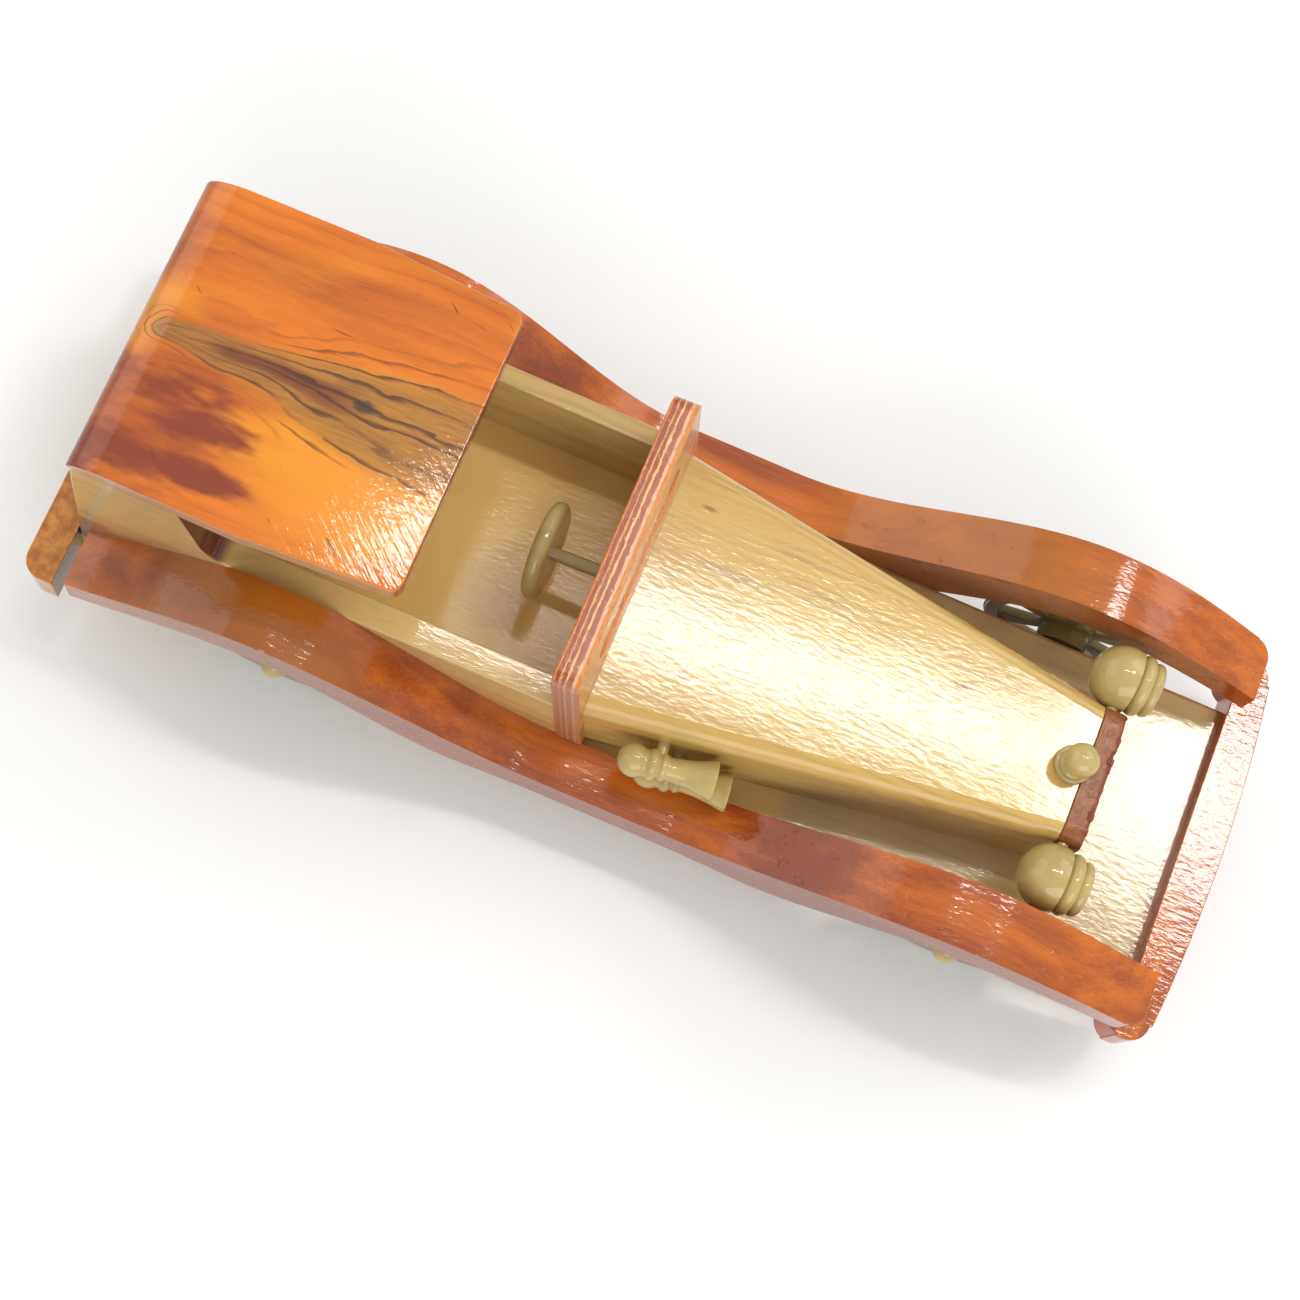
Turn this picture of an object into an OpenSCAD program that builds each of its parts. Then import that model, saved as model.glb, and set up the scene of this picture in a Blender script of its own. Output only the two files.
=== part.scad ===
// Wooden model of an open-front town car, built from turned and sawn pieces.
// +X is forward, +Y is the car's left, +Z is up.
// The origin is on the ground, under the middle of the overall length.

/* [Chassis] */
// Length of the base board between the bumpers
base_length = 263; // [261:1:266]
// Width of the base board
base_width = 68.6; // [67.6:0.1:69.2]
// Height of the base board's top above the ground
floor_height = 25; // [24.5:0.1:26]
// Thickness of the base board
base_thickness = 14; // [12:0.5:16]
// Width of the bumpers
bumper_width = 97; // [92:1:100]
// Height of the bumpers
bumper_height = 12; // [11:0.5:13]
// Depth of the rear bumper
rear_bumper_depth = 8; // [6:0.5:8]
// Depth of the front bumper at its middle
front_bumper_depth = 10; // [8:0.5:10]

/* [Wheels] */
// Radius of the wheels, and height of the axles
wheel_radius = 20.5; // [19.5:0.1:21]
// Width of the wheel rims
rim_width = 4; // [3.5:0.1:4.5]
// Distance from the middle of the car to a rim's outer face
rim_outer_y = 42; // [41.5:0.1:42.5]
// Place of the front axle along the car
front_axle_x = 89; // [86:1:91]
// Place of the rear axle along the car
rear_axle_x = -80; // [-82:1:-77]
// Radius of the axle dowels
axle_radius = 2; // [1.8:0.1:2.1]
// Number of spokes in a wheel
spoke_count = 6; // [5:1:8]

/* [Fenders] */
// Distance from the middle of the car to a running board's outer edge
running_board_y = 46.6; // [46:0.1:47]
// Extra width of a fender where it crosses a wheel
fender_swell = 2.6; // [1.5:0.1:3.6]
// Height of the running board's top
running_board_top = 28.5; // [27.5:0.5:29.5]
// Height of the running board's underside
running_board_bottom = 15; // [14:0.5:16]
// Height of a fender's crest
crest_top = 56.5; // [55:0.5:57]
// Height of a fender's underside at its crest
crest_bottom = 44; // [43:0.5:45]
// Front end of the fenders
fender_front_x = 132; // [130:0.5:133]
// Rear end of the fenders
fender_rear_x = -129; // [-130:0.5:-127]

/* [Body] */
// Height of the side panels' top edge in the open cockpit
door_top = 53.5; // [52:0.1:55]
// Thickness of the left side panel and of the back panel
left_wall = 4.5; // [4:0.1:5.5]
// Thickness of the right side panel
right_wall = 6.4; // [5:0.1:6.5]
// Height of the underside of the roof
cab_height = 83.5; // [80:0.5:86]
// Thickness of the roof board
roof_thickness = 5.5; // [5:0.1:6]
// Front edge of the roof
roof_front_x = -53.4; // [-56:0.1:-51]
// Slope of the cab's back, in degrees from upright
back_slope = 5.4; // [4:0.1:6]
// Place of the windscreen's rear face at door height
windscreen_x = -16.2; // [-17:0.1:-15]
// Backward lean of the windscreen, in degrees
windscreen_rake = 5.5; // [4:0.1:7]
// Thickness of the windscreen plate
windscreen_thickness = 6.3; // [6:0.1:6.5]
// Width of the windscreen plate
windscreen_width = 70; // [69:0.1:70.4]
// Height of the windscreen above the side panels
windscreen_rise = 24.2; // [22:0.1:26]
// Length of the window slot
slot_length = 46; // [40:1:48]
// Height of the window slot
slot_height = 10; // [8:0.5:11]

/* [Hood] */
// Front end of the hood
hood_front_x = 98.4; // [98:0.1:100]
// Width of the hood at the windscreen
hood_rear_width = 65.6; // [64:0.1:66.5]
// Width of the hood at the radiator
hood_front_width = 33.6; // [33:0.1:34]
// Height of the hood's top at the windscreen
hood_rear_top = 53.5; // [52.5:0.1:54.5]
// Height of the hood's top at the radiator
hood_front_top = 51.5; // [51:0.1:52.5]
// Thickness of the radiator slab
radiator_thickness = 5.7; // [5:0.1:6]
// Radius of the rounded top edges of the hood and the radiator
hood_edge_radius = 4; // [3:0.5:4]

/* [Turned fittings] */
// Radius of a headlight's ball
lamp_radius = 7.8; // [7.6:0.1:8.2]
// Height of the headlights
lamp_height = 47.5; // [46:0.5:48]
// Radius of the steering wheel
steering_radius = 11.7; // [11:0.1:12]
// Distance from the windscreen to the steering wheel's front
steering_reach = 14.5; // [14:0.5:16]
// Forward tilt of the radiator cap, in degrees
cap_tilt = 4; // [0:1:10]

/* [Hidden] */
$fn = 96;
// Radial clearance of an axle or shaft that turns in wood
running_gap = 0.08;
// Radial clearance around a glued dowel or peg
glue_gap = 0.02;
half_base = base_width / 2;
base_front_x = base_length / 2 - 1;
base_rear_x = base_front_x - base_length;
base_bottom = floor_height - base_thickness;
bumper_bottom = floor_height - 8;
bumper_corner = 5;
axle_height = wheel_radius;
axle_half_length = rim_outer_y + 2.5;
rim_inner_y = rim_outer_y - rim_width;
boss_inner_y = half_base + 0.6;
// Half-lengths of the fenders' waves, behind and ahead of the front crest and about the rear one
front_wave_behind = 75;
front_wave_ahead = 85;
rear_wave = 67;
// Half-length of the rear swell, seen from above, behind its crest
rear_swell_behind = 110;
arch_front_ahead = 105;
arch_front_behind = 54;
arch_rear_ahead = 50;
arch_rear_behind = 75;
fender_step = 3;
fender_tip_radius = 4;
dowel_radius = 2;
fender_dowel_x = [-21, 7];
fender_dowel_z = running_board_bottom + 4.5;
bumper_dowel_y = 22;
bumper_dowel_z = bumper_bottom + 4;
hood_dowel_x = [17, 69];
peg_radius = 1.4;
wall_outer_y = half_base;
back_top_x = base_rear_x + (cab_height - floor_height) * tan(back_slope);
pillar_x = -99.5;
pillar_lean = 3.5;
pillar_fillet = 9;
roof_rear_x = back_top_x - 0.5;
roof_half_front = 33.6;
roof_half_middle = 35.4;
roof_half_rear = 34.7;
roof_middle_x = -89;
roof_roll_length = 11;
roof_corner = 3;
slot_center = 11.5;
windscreen_corner = 3;
windscreen_front_x = windscreen_x + windscreen_thickness / cos(windscreen_rake);
shaft_radius = 1.6;
shaft_drop = 7.1;
shaft_depth = 5;
steering_thickness = 4;
lamp_y = hood_front_width / 2 + lamp_radius + 0.1;
lamp_x = hood_front_x + 2;
cap_x = hood_front_x - 2.7;
cap_flange_radius = 4.4;
horn_length = 22.6;
horn_reach = 5.6;
horn_peg_at = 9.5;
upper_horn_at = [9.5, 43.5];
lower_horn_at = [13.7, 35.4];
amber = [0.80, 0.53, 0.22];
stain_orange = [0.82, 0.38, 0.13];
pale_wood = [0.95, 0.84, 0.60];
radiator_brown = [0.62, 0.37, 0.24];
khaki = [0.75, 0.71, 0.47];

// A smooth bump: 1 at its peak, 0 beyond its two half-lengths
function bump(x, peak, behind, ahead) =
    let (reach = (x < peak) ? behind : ahead, t = min(1, abs(x - peak) / reach))
    (1 + cos(180 * t)) / 2;
function fender_wave(x) =
    max(bump(x, front_axle_x, front_wave_behind, front_wave_ahead),
        bump(x, rear_axle_x, rear_wave, rear_wave));
function arch_wave(x) =
    max(bump(x, front_axle_x, arch_front_behind, arch_front_ahead),
        bump(x, rear_axle_x, arch_rear_behind, arch_rear_ahead));
function fender_top(x) = running_board_top + (crest_top - running_board_top) * fender_wave(x);
function fender_bottom(x) = running_board_bottom + (crest_bottom - running_board_bottom) * arch_wave(x);
function fender_outer(x) =
    running_board_y + fender_swell * max(fender_wave(x), bump(x, rear_axle_x, rear_swell_behind, rear_wave));
function fender_stations() = [for (x = [fender_rear_x:fender_step:fender_front_x]) x];
function reversed(list) = [for (i = [len(list) - 1:-1:0]) list[i]];
// Half-width of the hood at a place along the car
function hood_half(x) =
    hood_rear_width / 2 - (hood_rear_width - hood_front_width) / 2
    * (x - windscreen_front_x) / (hood_front_x - windscreen_front_x);
function hood_top(x) =
    hood_rear_top + (hood_front_top - hood_rear_top)
    * (x - windscreen_front_x) / (hood_front_x - windscreen_front_x);
hood_taper = atan((hood_half(0) - hood_half(100)) / 100);
hood_climb = atan((hood_top(100) - hood_top(0)) / 100);

// A profile drawn in X and Z, made into a board from y = low to y = high
module board(low, high) {
    translate([0, high, 0]) rotate([90, 0, 0]) linear_extrude(high - low) children();
}
// Children in the leaning windscreen's own upright frame
module in_windscreen() {
    translate([windscreen_x, 0, door_top]) rotate([0, -windscreen_rake, 0]) children();
}
// A cylinder along +Y between two places
module cross_pin(radius, low, high) {
    translate([0, high, 0]) rotate([90, 0, 0]) cylinder(r = radius, h = high - low);
}
// A turned piece whose axis lies along +X
module turned_x() {
    rotate([0, 90, 0]) rotate_extrude() children();
}
// A turned piece whose axis lies along +Y or, with side = -1, along -Y
module turned_y(side) {
    rotate([-90 * side, 0, 0]) rotate_extrude() children();
}

// What rounding takes off the corner at the origin of a flat outline that lies
// below it and on the negative side, or with side = -1 on the positive side
module corner_waste(radius, side) {
    difference() {
        translate([(side > 0) ? -radius : -2 * radius, -radius]) square(3 * radius);
        translate([-side * radius, -radius]) circle(r = radius);
    }
}

module bumper_pins(extra) {
    for (x = [base_front_x, base_rear_x], y = [-bumper_dowel_y, bumper_dowel_y])
        translate([x - 6, y, bumper_dowel_z]) rotate([0, 90, 0])
            cylinder(r = dowel_radius + extra, h = 12);
}
module fender_pins(extra) {
    for (x = fender_dowel_x, side = [-1, 1])
        translate([x, 0, fender_dowel_z])
            cross_pin(dowel_radius + extra, side * half_base - 6, side * half_base + 6);
}
module hood_pins(extra) {
    for (x = hood_dowel_x)
        translate([x, 0, floor_height - 8]) cylinder(r = dowel_radius + extra, h = 18);
}
module lamp_pins(extra) {
    for (side = [-1, 1])
        translate([lamp_x, side * hood_front_width / 2, lamp_height])
            cross_pin(peg_radius + extra, -5, 5);
}
// Children in the frame of a horn, whose +X runs along the tapering hood side
module at_horn(place) {
    translate([place[0], -hood_half(place[0]), place[1]]) rotate([0, 0, hood_taper]) children();
}
module horn_pins(extra) {
    for (place = [upper_horn_at, lower_horn_at])
        at_horn(place) cross_pin(peg_radius + extra, 1.2 - horn_reach, 4);
}

module base_board() {
    color(pale_wood) difference() {
        translate([base_rear_x, -half_base, base_bottom])
            cube([base_length, base_width, base_thickness]);
        for (x = [front_axle_x, rear_axle_x])
            translate([x, 0, axle_height])
                cross_pin(axle_radius + running_gap, -half_base - 1, half_base + 1);
        bumper_pins(glue_gap);
        fender_pins(glue_gap);
        hood_pins(glue_gap);
    }
}
// The outline of a bumper in plan, straight behind, bowed in front, with round ends
module bumper_outline(depth, bow) {
    half = bumper_width / 2;
    bow_radius = (half * half + bow * bow) / (2 * bow);
    end_x = depth - bow - bumper_corner;
    intersection() {
        translate([depth - bow_radius, 0]) circle(r = bow_radius, $fn = 720);
        union() {
            translate([0, bumper_corner - half]) square([depth, bumper_width - 2 * bumper_corner]);
            translate([0, -half]) square([end_x, bumper_width]);
            for (side = [-1, 1])
                translate([end_x, side * (half - bumper_corner)]) circle(r = bumper_corner);
        }
    }
}
module front_bumper() {
    color(stain_orange) difference() {
        translate([base_front_x, 0, bumper_bottom])
            linear_extrude(bumper_height) bumper_outline(front_bumper_depth, 3);
        bumper_pins(glue_gap);
    }
}
module rear_bumper() {
    half = bumper_width / 2;
    color(amber) difference() {
        translate([base_rear_x - rear_bumper_depth, -half, bumper_bottom])
            cube([rear_bumper_depth, bumper_width, bumper_height]);
        bumper_pins(glue_gap);
        for (side = [-1, 1])
            translate([base_rear_x - rear_bumper_depth, side * half, 0]) rotate([0, 0, 90])
                linear_extrude(100) corner_waste(bumper_corner, side);
    }
}
module bumper_dowels() {
    color(pale_wood) bumper_pins(0);
}

// A fender: the wave seen from the side, cut to the swelling plank seen from above
module fender(side) {
    stations = fender_stations();
    upper = [for (x = stations) [x, fender_top(x)]];
    lower = [for (x = stations) [x, fender_bottom(x)]];
    outer = [for (x = stations) [x, side * fender_outer(x)]];
    inner = [[fender_front_x, side * half_base], [fender_rear_x, side * half_base]];
    color(stain_orange) difference() {
        intersection() {
            board(-60, 60) polygon(concat(upper, reversed(lower)));
            linear_extrude(100) polygon(concat(outer, inner));
        }
        fender_pins(glue_gap);
        translate([fender_front_x, side * fender_outer(fender_front_x), 0]) rotate([0, 0, -90])
            linear_extrude(100) corner_waste(fender_tip_radius, -side);
    }
}
module left_fender() {
    fender(1);
}
module right_fender() {
    fender(-1);
}
module fender_dowels() {
    color(pale_wood) fender_pins(0);
}

// The outline of a side panel: low beside the cockpit, full height behind the pillar
module side_outline() {
    lean = tan(windscreen_rake);
    pillar_top_x = pillar_x - pillar_lean;
    difference() {
        polygon([
            [base_rear_x, floor_height],
            [windscreen_x + (door_top - floor_height) * lean, floor_height],
            [windscreen_x, door_top],
            [pillar_x + pillar_fillet, door_top],
            [pillar_x + pillar_fillet, door_top + pillar_fillet],
            [pillar_x, door_top + pillar_fillet],
            [pillar_top_x, cab_height],
            [back_top_x, cab_height],
        ]);
        translate([pillar_x + pillar_fillet, door_top + pillar_fillet]) circle(r = pillar_fillet);
    }
}
module left_side_panel() {
    color(pale_wood) board(wall_outer_y - left_wall, wall_outer_y) side_outline();
}
module right_side_panel() {
    color(pale_wood) board(-wall_outer_y, right_wall - wall_outer_y) side_outline();
}
module back_panel() {
    thickness = left_wall / cos(back_slope);
    color(pale_wood) board(right_wall - wall_outer_y, wall_outer_y - left_wall) polygon([
        [base_rear_x, floor_height],
        [base_rear_x + thickness, floor_height],
        [back_top_x + thickness, cab_height],
        [back_top_x, cab_height],
    ]);
}
// The roof seen from the side, its rear edge rolled down in a quarter ellipse
module roof_profile() {
    roll = [for (a = [0:7.5:90])
        [roof_rear_x + roof_roll_length * (1 - sin(a)), cab_height + roof_thickness * cos(a)]];
    polygon(concat([[roof_front_x, cab_height], [roof_rear_x, cab_height]],
        reversed(roll), [[roof_front_x, cab_height + roof_thickness]]));
}
// The roof seen from above, widest over the doors
module roof_plan() {
    corner_x = roof_front_x - roof_corner;
    polygon([
        [roof_rear_x - 1, -roof_half_rear], [roof_middle_x, -roof_half_middle],
        [corner_x, -roof_half_front], [corner_x, roof_half_front],
        [roof_middle_x, roof_half_middle], [roof_rear_x - 1, roof_half_rear],
    ]);
    translate([corner_x - 1, roof_corner - roof_half_front])
        square([roof_corner + 1, 2 * (roof_half_front - roof_corner)]);
    for (side = [-1, 1])
        translate([corner_x, side * (roof_half_front - roof_corner)]) circle(r = roof_corner);
}
module roof() {
    color(stain_orange) intersection() {
        board(-50, 50) roof_profile();
        linear_extrude(120) roof_plan();
    }
}

// The window slot, with round ends
module slot(depth) {
    straight = (slot_length - slot_height) / 2;
    translate([-1, -straight, slot_center - slot_height / 2])
        cube([depth, 2 * straight, slot_height]);
    for (side = [-1, 1])
        translate([-1, side * straight, slot_center]) rotate([0, 90, 0])
            cylinder(r = slot_height / 2, h = depth);
}
module windscreen() {
    half = windscreen_width / 2;
    // The foot is notched to pass inside the running boards
    notch_size = 10;
    notch_gap = 0.1;
    notch_lift = 0.5;
    color(stain_orange) difference() {
        in_windscreen() difference() {
            translate([0, -half, -40]) cube([windscreen_thickness, windscreen_width, 40 + windscreen_rise]);
            slot(windscreen_thickness + 2);
            translate([-1, 0, -shaft_drop]) rotate([0, 90, 0])
                cylinder(r = shaft_radius + running_gap, h = shaft_depth + 1.2);
            for (side = [-1, 1])
                translate([-1, side * half, windscreen_rise]) rotate([90, 0, 90])
                    linear_extrude(windscreen_thickness + 2) corner_waste(windscreen_corner, side);
        }
        translate([-60, -60, -10]) cube([120, 120, floor_height + 10]);
        for (side = [-1, 1])
            translate([0, side * (half_base - notch_gap + notch_size / 2), 0])
                cube([120, notch_size, 2 * (running_board_top + notch_lift)], center = true);
    }
}

// What is planed off one long top edge of the hood
module hood_edge_waste(side) {
    start = windscreen_front_x - 20;
    translate([start, side * hood_half(start), hood_top(start)])
        rotate([0, 0, -side * hood_taper]) rotate([0, -hood_climb, 0])
            rotate([90, 0, 90]) linear_extrude(160) corner_waste(hood_edge_radius, side);
}
module hood() {
    lean = tan(windscreen_rake);
    rear_low = windscreen_front_x + (door_top - floor_height) * lean;
    rear_high = windscreen_front_x + (door_top - hood_rear_top) * lean;
    color(pale_wood) difference() {
        intersection() {
            board(-40, 40) polygon([
                [rear_low, floor_height], [hood_front_x, floor_height],
                [hood_front_x, hood_front_top], [rear_high, hood_top(rear_high)],
            ]);
            linear_extrude(100) polygon([
                [windscreen_front_x - 5, -hood_half(windscreen_front_x - 5)],
                [hood_front_x, -hood_front_width / 2],
                [hood_front_x, hood_front_width / 2],
                [windscreen_front_x - 5, hood_half(windscreen_front_x - 5)],
            ]);
        }
        for (side = [-1, 1])
            hood_edge_waste(side);
        hood_pins(glue_gap);
        horn_pins(glue_gap);
        at_cap() cap_peg(glue_gap);
    }
}
module hood_dowels() {
    color(pale_wood) hood_pins(0);
}
module radiator() {
    half = hood_front_width / 2;
    color(radiator_brown) difference() {
        translate([hood_front_x, 0, 0]) rotate([90, 0, 90]) linear_extrude(radiator_thickness) {
            translate([-half, floor_height])
                square([2 * half, hood_front_top - floor_height - hood_edge_radius]);
            translate([hood_edge_radius - half, hood_front_top - hood_edge_radius - 1])
                square([2 * (half - hood_edge_radius), hood_edge_radius + 1]);
            for (side = [-1, 1])
                translate([side * (half - hood_edge_radius), hood_front_top - hood_edge_radius])
                    circle(r = hood_edge_radius);
        }
        lamp_pins(glue_gap);
    }
}

// Children in the frame of the radiator cap, whose +Z is its tilted axis
module at_cap() {
    lift = 0.1 + cap_flange_radius * sin(cap_tilt);
    translate([cap_x, 0, hood_top(cap_x) + lift]) rotate([0, cap_tilt, 0]) children();
}
module cap_peg(extra) {
    translate([0, 0, -7]) cylinder(r = peg_radius + extra, h = 7.5);
}
module radiator_cap() {
    color(khaki) at_cap() {
        cap_peg(0);
        cylinder(r = cap_flange_radius, h = 1.4);
        translate([0, 0, 1]) cylinder(r = 2.6, h = 2);
        translate([0, 0, 5.9]) sphere(r = 4.1);
    }
}

// A headlight: a ball with two ring grooves turned in front of it
module headlight(side) {
    color(khaki) difference() {
        translate([lamp_x, side * lamp_y, lamp_height]) {
            sphere(r = lamp_radius);
            turned_x() {
                translate([0, 3]) square([6.3, 4.6]);
                translate([5.75, 4.1]) circle(r = 1.4);
                translate([5.2, 7]) circle(r = 1.3);
                translate([0, 4.1]) square([5.2, 4.2]);
            }
        }
        lamp_pins(glue_gap);
    }
}
module left_headlight() {
    headlight(1);
}
module right_headlight() {
    headlight(-1);
}
module headlight_pegs() {
    color(khaki) lamp_pins(0);
}

// A horn along +X from its bulb, with a ring on the neck and a flared bell
module horn_shape() {
    bulb_radius = 4;
    neck_radius = 2.4;
    waist_radius = 2.9;
    bell_radius = 4.7;
    bell_start = 12;
    ring_radius = 3.8;
    ring_start = 7.7;
    ring_end = 11.3;
    ring_edge = 0.3;
    bell = [for (a = [0:10:90])
        [bell_radius - (bell_radius - waist_radius) * sin(a),
            bell_start + (horn_length - bell_start) * cos(a)]];
    ring = [
        [neck_radius, ring_end],
        [ring_radius - ring_edge, ring_end],
        [ring_radius, ring_end - ring_edge],
        [ring_radius, ring_start + ring_edge],
        [ring_radius - ring_edge, ring_start],
        [neck_radius, ring_start],
    ];
    bulb = [for (a = [140:-10:10]) [bulb_radius * sin(a), bulb_radius * (1 - cos(a))]];
    turned_x() polygon(concat([[0, 0], [0, horn_length]], bell, ring, bulb));
}
module horn(place) {
    color(khaki) difference() {
        at_horn(place) translate([-horn_peg_at, -horn_reach, 0]) horn_shape();
        horn_pins(glue_gap);
    }
}
module upper_horn() {
    horn(upper_horn_at);
}
module lower_horn() {
    horn(lower_horn_at);
}
module horn_pegs() {
    color(khaki) horn_pins(0);
}

module steering_wheel() {
    rim = steering_thickness / 2;
    color(khaki) in_windscreen() translate([-steering_reach - steering_thickness, 0, -shaft_drop])
        difference() {
            turned_x() {
                square([steering_radius - rim, steering_thickness]);
                translate([steering_radius - rim, rim]) circle(r = rim);
            }
            translate([1.5, 0, 0]) rotate([0, 90, 0])
                cylinder(r = shaft_radius + glue_gap, h = steering_thickness);
        }
}
module steering_shaft() {
    color(khaki) in_windscreen() translate([1.5 - steering_reach - steering_thickness, 0, -shaft_drop])
        rotate([0, 90, 0])
            cylinder(r = shaft_radius, h = steering_reach + steering_thickness - 1.5 + shaft_depth);
}

// A wheel: rim, pierced web and hub, seen from the middle of the car outwards
module wheel(axle_x, side) {
    rim_thickness = 3.9;
    web_thickness = 2.4;
    hub_radius = 6.2;
    web_y = rim_inner_y + 1;
    opening_angle = 360 / spoke_count - 20;
    inner_radius = wheel_radius - rim_thickness;
    color(khaki) translate([axle_x, 0, axle_height]) difference() {
        turned_y(side) {
            translate([inner_radius, rim_inner_y]) square([rim_thickness - 0.6, rim_width]);
            translate([inner_radius, rim_inner_y + 0.6]) square([rim_thickness, rim_width - 1.2]);
            translate([0, web_y]) square([inner_radius + 1, web_thickness]);
            translate([0, boss_inner_y]) square([hub_radius, rim_outer_y - boss_inner_y]);
        }
        rotate([90, 0, 0]) linear_extrude(120, center = true)
            for (i = [0:spoke_count - 1])
                rotate(i * 360 / spoke_count) web_opening(inner_radius - 0.8, hub_radius + 1.2, opening_angle);
        cross_pin(axle_radius + glue_gap, -60, 60);
    }
}
// One opening between two spokes
module web_opening(outer, inner, angle) {
    reach = outer * 1.5;
    intersection() {
        difference() {
            circle(r = outer);
            circle(r = inner);
        }
        polygon([[0, 0], [reach * cos(angle / 2), -reach * sin(angle / 2)],
            [reach * cos(angle / 2), reach * sin(angle / 2)]]);
    }
}
module axle(axle_x) {
    color(pale_wood) translate([axle_x, 0, axle_height])
        cross_pin(axle_radius, -axle_half_length, axle_half_length);
}
module hub_cap(axle_x, side) {
    color(khaki) translate([axle_x, 0, axle_height]) difference() {
        turned_y(side) translate([0, rim_outer_y]) {
            square([4.2, 1.2]);
            square([3, 2.4]);
            intersection() {
                translate([0, 1.6]) circle(r = 3.4);
                translate([0, 1.6]) square(5);
            }
        }
        cross_pin(axle_radius + glue_gap, -axle_half_length - glue_gap, axle_half_length + glue_gap);
    }
}
module front_axle() {
    axle(front_axle_x);
}
module front_left_wheel() {
    wheel(front_axle_x, 1);
}
module front_right_wheel() {
    wheel(front_axle_x, -1);
}
module front_left_hub_cap() {
    hub_cap(front_axle_x, 1);
}
module front_right_hub_cap() {
    hub_cap(front_axle_x, -1);
}
module rear_axle() {
    axle(rear_axle_x);
}
module rear_left_wheel() {
    wheel(rear_axle_x, 1);
}
module rear_right_wheel() {
    wheel(rear_axle_x, -1);
}
module rear_left_hub_cap() {
    hub_cap(rear_axle_x, 1);
}
module rear_right_hub_cap() {
    hub_cap(rear_axle_x, -1);
}

base_board();
front_bumper();
rear_bumper();
bumper_dowels();
left_fender();
right_fender();
fender_dowels();
left_side_panel();
right_side_panel();
back_panel();
roof();
windscreen();
hood();
hood_dowels();
radiator();
radiator_cap();
left_headlight();
right_headlight();
headlight_pegs();
upper_horn();
lower_horn();
horn_pegs();
steering_wheel();
steering_shaft();
front_axle();
front_left_wheel();
front_right_wheel();
front_left_hub_cap();
front_right_hub_cap();
rear_axle();
rear_left_wheel();
rear_right_wheel();
rear_left_hub_cap();
rear_right_hub_cap();
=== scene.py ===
"""Looks for a wooden model of an open-front town car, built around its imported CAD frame."""
import math

import bmesh
import bpy
from mathutils import Matrix, Vector, noise


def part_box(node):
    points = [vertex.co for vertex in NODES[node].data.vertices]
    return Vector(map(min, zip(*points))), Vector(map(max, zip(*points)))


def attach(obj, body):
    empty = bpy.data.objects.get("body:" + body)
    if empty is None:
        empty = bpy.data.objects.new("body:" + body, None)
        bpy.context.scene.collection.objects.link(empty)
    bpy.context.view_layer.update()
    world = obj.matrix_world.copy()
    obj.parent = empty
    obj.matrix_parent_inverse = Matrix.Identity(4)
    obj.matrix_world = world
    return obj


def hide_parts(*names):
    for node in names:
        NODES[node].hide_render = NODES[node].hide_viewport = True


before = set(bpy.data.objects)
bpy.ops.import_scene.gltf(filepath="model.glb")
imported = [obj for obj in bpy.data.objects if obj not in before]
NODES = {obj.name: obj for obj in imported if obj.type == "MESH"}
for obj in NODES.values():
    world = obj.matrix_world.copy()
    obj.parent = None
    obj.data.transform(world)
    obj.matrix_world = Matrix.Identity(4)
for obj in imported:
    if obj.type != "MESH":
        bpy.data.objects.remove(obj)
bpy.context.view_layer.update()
MM = 0.001

# ---------------------------------------------------------------- camera and light

# The lens and sensor are in millimetres, the place in metres and the turns in radians
CAMERA_PLACE = Vector((-6.7, -141.8, 545.2)) * MM
CAMERA_PITCH = 0.254
CAMERA_ROLL = -0.010
CAMERA_HEADING = 0.402
CAMERA_LENS = 63.66
SENSOR_WIDTH = 36
CLIP_START = 0.01
WORLD_STRENGTH = 0.70
# name, place, aim, size, power, colour, roll in degrees; places are in metres
LIGHTS = (
    ("ceiling_strip", (0.085, 0.345, 1.35), (0.085, 0.345, 0.0), (0.60, 0.045), 3.3, (1.0, 0.985, 0.96), 6.0),
    ("ceiling_panel", (0.485, 0.415, 1.35), (0.485, 0.415, 0.0), (0.18, 0.22), 3.2, (1.0, 0.985, 0.96), 0.0),
    ("window", (1.05, 1.45, 1.45), (0.0, 0.0, 0.05), (1.8, 1.2), 12.0, (0.98, 0.99, 1.0), 0.0),
    ("left_wall", (-1.75, 0.40, 1.20), (0.0, 0.0, 0.03), (2.2, 1.4), 10.0, (1.0, 0.98, 0.96), 0.0),
    ("near_wall", (0.9, -1.85, 1.30), (0.0, 0.0, 0.03), (2.4, 1.4), 26.0, (1.0, 0.99, 0.98), 0.0),
)


def make_camera():
    data = bpy.data.cameras.new("camera")
    data.sensor_width = SENSOR_WIDTH
    data.lens = CAMERA_LENS
    data.clip_start = CLIP_START
    camera = bpy.data.objects.new("camera", data)
    bpy.context.scene.collection.objects.link(camera)
    turn = (
        Matrix.Rotation(CAMERA_PITCH, 4, "X")
        @ Matrix.Rotation(CAMERA_ROLL, 4, "Y")
        @ Matrix.Rotation(CAMERA_HEADING, 4, "Z")
    )
    camera.matrix_world = Matrix.Translation(CAMERA_PLACE) @ turn
    bpy.context.scene.camera = camera


def area_light(name, place, aim, size, power, colour, roll):
    data = bpy.data.lights.new(name, "AREA")
    data.shape = "RECTANGLE"
    data.size, data.size_y = size
    data.energy = power
    data.color = colour
    lamp = bpy.data.objects.new(name, data)
    bpy.context.scene.collection.objects.link(lamp)
    direction = Vector(aim) - Vector(place)
    look = direction.to_track_quat("-Z", "Y").to_matrix().to_4x4()
    turn = look @ Matrix.Rotation(math.radians(roll), 4, "Z")
    lamp.matrix_world = Matrix.Translation(place) @ turn


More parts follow.
